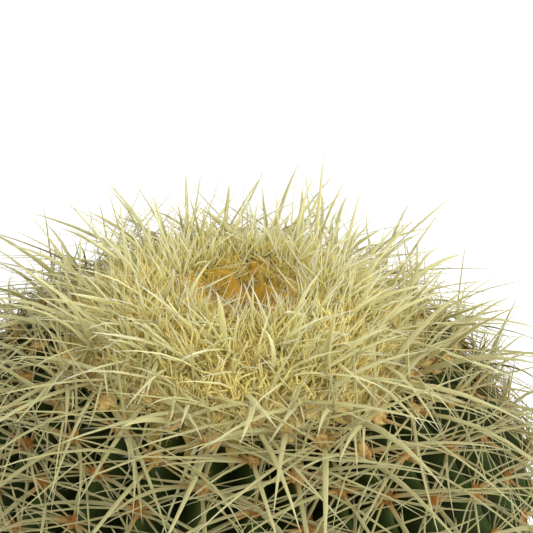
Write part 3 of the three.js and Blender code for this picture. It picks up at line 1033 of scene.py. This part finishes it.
# Colour by age, from golden young spines to grey old ones, with the grown rib spines painted darker
# as shade under the light from above
age_colour_and_painted_shade = straw.ramp(
    straw.value("age"),
    (0.04, 0.80, 0.69, 0.29),
    (0.12, 0.81, 0.76, 0.43),
    (0.2, 0.84, 0.81, 0.56),
    (0.28, 0.70, 0.675, 0.46),
    (0.42, 0.545, 0.53, 0.355),
    (0.75, 0.55, 0.53, 0.355),
    (0.97, 0.60, 0.55, 0.42),
)
shade = straw.ramp(
    straw.value("tone"), (0.0, 0.86, 0.84, 0.78), (0.5, 0.95, 0.95, 0.93), (1.0, 1, 1, 1)
)
spine_colour = straw.blend(1.0, age_colour_and_painted_shade, shade, "MULTIPLY")
root_share = straw.ramp(straw.value("along"), (0.04, 1, 1, 1), (0.17, 0, 0, 0))
browning = straw.ramp(straw.value("age"), (0.16, 0, 0, 0), (0.3, 0.85, 0.85, 0.85))
spine_colour = straw.tint(spine_colour, root_share, browning, (0.70, 0.49, 0.20))
# Colour at the tips: young tips are pale, grown tips are painted darker, painted shade that evens
# out the light they catch where they stand out
tip_colour_with_painted_shade = straw.ramp(
    straw.value("age"),
    (0.15, 0.86, 0.87, 0.76),
    (0.24, 0.68, 0.68, 0.53),
    (0.4, 0.49, 0.48, 0.33),
)
toward_tip = straw.math("MULTIPLY", straw.value("along"), 0.7)
spine_colour = straw.blend(toward_tip, spine_colour, tip_colour_with_painted_shade)
streak = straw.noise(1.4, 3)
straw.done(
    central_spines,
    radial_spines,
    crown_spines,
    Base_Color=straw.tint(spine_colour, streak, 0.2, (0.78, 0.75, 0.55)),
    Roughness=straw.rescale(streak, 0.55, 0.75),
    Specular_IOR_Level=0.3,
    Normal=straw.bump(straw.noise(0.5, 2), 0.08, 0.5),
    Subsurface_Weight=0.7,
    Subsurface_Radius=(1.0, 0.92, 0.55),
    Subsurface_Scale=0.0012,
)

# %% [markdown]
# ## Felt and wool
# The felt is golden and pales to cream outwards, and so does the fleece on it. Its darker amber in
# the middle of the crown is painted shade in the hollow round the growing point. On the ribs the
# pads and their wool are tan with orange brown, and they grey with age. Felt hardly shines. Its
# matted look comes from two sizes of bumps on the hills of its mesh.

# %% Felt and wool
felt = Finish("crown_felt")
# Golden felt, with its darker amber in the middle painted as shade in the hollow of the crown
gold_with_painted_pit_shade = felt.ramp(
    felt.value("reach"),
    (0.0, 0.60, 0.44, 0.13),
    (0.35, 0.70, 0.55, 0.19),
    (0.7, 0.90, 0.77, 0.38),
    (1.0, 0.97, 0.89, 0.57),
)
matting = felt.noise(2, 6, stretch=(1, 1, 4))
felt.done(
    crown_felt,
    crown_tufts,
    furrow_wool,
    Base_Color=felt.tint(gold_with_painted_pit_shade, matting, 0.5, (0.76, 0.62, 0.26)),
    Roughness=0.9,
    Normal=felt.bump(felt.noise(0.9, 4), 0.6, 0.9, felt.bump(matting, 1.5, 0.7)),
    Specular_IOR_Level=0.1,
)

pad = Finish("areole_felt")
tan = pad.ramp(
    pad.value("age"),
    (0.24, 0.97, 0.89, 0.60),
    (0.34, 0.90, 0.77, 0.46),
    (0.42, 0.66, 0.46, 0.21),
    (0.95, 0.47, 0.36, 0.20),
)
rust = pad.ramp(pad.noise(2.2, 5), (0.42, 0, 0, 0), (0.6, 1, 1, 1))
rustiness = pad.ramp(pad.value("age"), (0.28, 0.05, 0.05, 0.05), (0.42, 0.8, 0.8, 0.8))
pad.done(
    areole_pads,
    Base_Color=pad.tint(tan, rust, rustiness, (0.44, 0.25, 0.09)),
    Roughness=0.92,
    Normal=pad.bump(pad.noise(0.6, 4), 0.5, 0.9),
    Specular_IOR_Level=0.1,
)

# %% Fleece and loose wool
fleece = Finish("golden_fleece")
# Golden fleece that pales outwards, and its darker amber at the middle is painted shade in the
# crown's hollow
strand = fleece.ramp(
    fleece.value("age"),
    (0.0, 0.60, 0.46, 0.15),
    (0.4, 0.80, 0.72, 0.31),
    (0.7, 0.86, 0.81, 0.46),
    (0.85, 0.97, 0.91, 0.59),
)
fleece.done(
    crown_fleece,
    furrow_fleece,
    Base_Color=fleece.tint(strand, fleece.value("tone"), 0.35, (0.88, 0.81, 0.47)),
    Roughness=fleece.rescale(fleece.noise(1.5, 2), 0.55, 0.8),
)

lint = Finish("areole_wool")
strand = lint.ramp(
    lint.value("age"),
    (0.25, 0.96, 0.88, 0.60),
    (0.42, 0.68, 0.47, 0.18),
    (0.95, 0.52, 0.43, 0.27),
)
lint.done(
    areole_wool,
    Base_Color=lint.tint(strand, lint.value("tone"), 0.4, (0.66, 0.40, 0.15)),
    Roughness=lint.rescale(lint.noise(1.5, 2), 0.6, 0.85),
)

# %% [markdown]
# ## Soil, grit and clay
# Cactus soil is dark compost with a lot of mineral grit in it, and each grain's tone gives it a
# shade of its own. Fired clay is warm orange brown and grainy, with a pale bloom of salts where
# water dries out of it, most on the foot. The fine level lines of its turning are stretched noise.

# %% Soil and grit
earth = Finish("gritty_soil")
crumb = earth.noise(3.5, 8)
earth.done(
    soil_bed,
    Base_Color=earth.ramp(
        crumb, (0.3, 0.10, 0.07, 0.05), (0.55, 0.22, 0.16, 0.11), (0.8, 0.38, 0.30, 0.22)
    ),
    Roughness=0.95,
    Normal=earth.bump(crumb, 1.2, 0.9, earth.bump(earth.noise(0.8, 3), 0.4, 0.6)),
)

stone = Finish("mineral_grit")
grain = stone.ramp(
    stone.value("tone"),
    (0.0, 0.14, 0.10, 0.07),
    (0.35, 0.30, 0.22, 0.15),
    (0.6, 0.50, 0.42, 0.32),
    (0.8, 0.66, 0.60, 0.50),
    (1.0, 0.84, 0.80, 0.72),
)
speck = stone.noise(0.8, 4)
stone.done(
    soil_grit,
    Base_Color=stone.tint(grain, speck, 0.5, (0.36, 0.28, 0.20)),
    Roughness=0.9,
    Normal=stone.bump(speck, 0.25, 0.8),
)

# %% Fired clay
BLOOM_TOP = 0.11  # metres above the pot's foot

clay = Finish("fired_clay")
fired = clay.ramp(
    clay.noise(70, 5), (0.3, 0.62, 0.33, 0.20), (0.5, 0.72, 0.41, 0.26), (0.72, 0.79, 0.50, 0.34)
)
sand = clay.noise(1.1, 4)
fired = clay.tint(fired, sand, 0.35, (0.55, 0.29, 0.18))
level = clay.node("ShaderNodeSeparateXYZ", {"Vector": clay.coordinates()}).outputs["Z"]
bloom = clay.math("ADD", clay.rescale(level, 0.75, 0.0, last=BLOOM_TOP), 0.18)
patches = clay.math("POWER", clay.noise(26, 7), 1.4)
turning = clay.noise(4, 3, stretch=(60, 60, 1))
clay.done(
    pot_body,
    Base_Color=clay.tint(fired, bloom, patches, (0.88, 0.82, 0.74)),
    Roughness=clay.rescale(sand, 0.78, 0.95),
    Normal=clay.bump(sand, 0.25, 0.7, clay.bump(turning, 0.5, 0.6)),
)

# %% [markdown]
# ## Floor, light and camera
# The plant stands on a plain pale floor in soft, even light from all round, with a large lamp high
# above it and a smaller one at its right front. The camera stands close and looks down on the
# crown, so that the plant fills the lower part of the picture. Its place was fitted to the areoles
# and the outline, in the same millimetres as everything else.

# %% Floor
FLOOR_HALF = 8000.0

corners = np.array([[-1, -1, 0], [1, -1, 0], [1, 1, 0], [-1, 1, 0]]) * FLOOR_HALF
floor = fill("floor", corners, np.array([[0, 1, 2, 3]]), np.zeros((0, 3), int))
pale = Finish("pale_floor")
pale.done(
    floor,
    Base_Color=pale.ramp(pale.noise(400, 2), (0.3, 0.95, 0.95, 0.95), (0.7, 0.97, 0.97, 0.97)),
    Roughness=0.9,
)

# %% Light
SKY_STRENGTH = 1.18

world = bpy.data.worlds.new("studio")
bpy.context.scene.world = world
world.use_nodes = True
sky = world.node_tree.nodes["Background"].inputs
sky["Color"].default_value = (1, 1, 1, 1)
sky["Strength"].default_value = SKY_STRENGTH


def pose(place, right, up, back):
    """A matrix from three directions and a place in millimetres."""
    matrix = np.eye(4)
    matrix[:3] = np.stack([right, up, back, np.multiply(place, MM)], 1)
    return Matrix(matrix.tolist())


def lamp(name, place, aim, size, watts):
    """A square soft lamp at a place in millimetres, facing the aim."""
    area = bpy.data.lights.new(name, "AREA")
    area.size = size * MM
    area.energy = watts
    lamp_object = bpy.data.objects.new(name, area)
    back = unit(np.subtract(place, aim))
    right = unit(np.cross([0, 0, 1], back))
    lamp_object.matrix_world = pose(place, right, np.cross(back, right), back)
    bpy.context.scene.collection.objects.link(lamp_object)
    print(name, watts, "W")


lamp("key_light", (500, -200, 2600), (0, 0, 300), 2600, 9)
lamp("fill_light", (1300, -1000, 1100), (0, 0, 350), 1000, 19)

# %% Camera
PHOTO_PIXELS = 533
FOCAL_PIXELS = 1361.0
CAMERA_DISTANCE = 4.744 * STEM_RADIUS  # from the middle of the widest level
CAMERA_RISE = 0.61873  # radians above that level
LOOK_DOWN = CAMERA_RISE - 0.1527  # radians, as the next three are
LOOK_RIGHT = 0.0175
TILT = 0.0649
PLANT_TURN = 0.05235  # the front rib stands this much to the camera's right

eye = CAMERA_DISTANCE * spin(np.cos(CAMERA_RISE), np.sin(CAMERA_RISE), -PLANT_TURN)
eye = eye + [0, 0, WIDEST_LEVEL]
ahead = -spin(np.cos(LOOK_DOWN), np.sin(LOOK_DOWN), -PLANT_TURN - LOOK_RIGHT)
level_right = unit(np.cross(ahead, [0, 0, 1]))
level_up = np.cross(level_right, ahead)
right = level_right * np.cos(TILT) + level_up * np.sin(TILT)
up = level_up * np.cos(TILT) - level_right * np.sin(TILT)

lens = bpy.data.cameras.new("camera")
lens.sensor_width = 36.0
lens.lens = FOCAL_PIXELS / PHOTO_PIXELS * lens.sensor_width
lens.clip_end = 50.0
camera = bpy.data.objects.new("camera", lens)
camera.matrix_world = pose(eye, right, up, -ahead)
bpy.context.scene.collection.objects.link(camera)
bpy.context.scene.camera = camera
bpy.context.scene.view_settings.view_transform = "Standard"
print("lens", round(lens.lens, 1), "mm, camera at", eye.round())
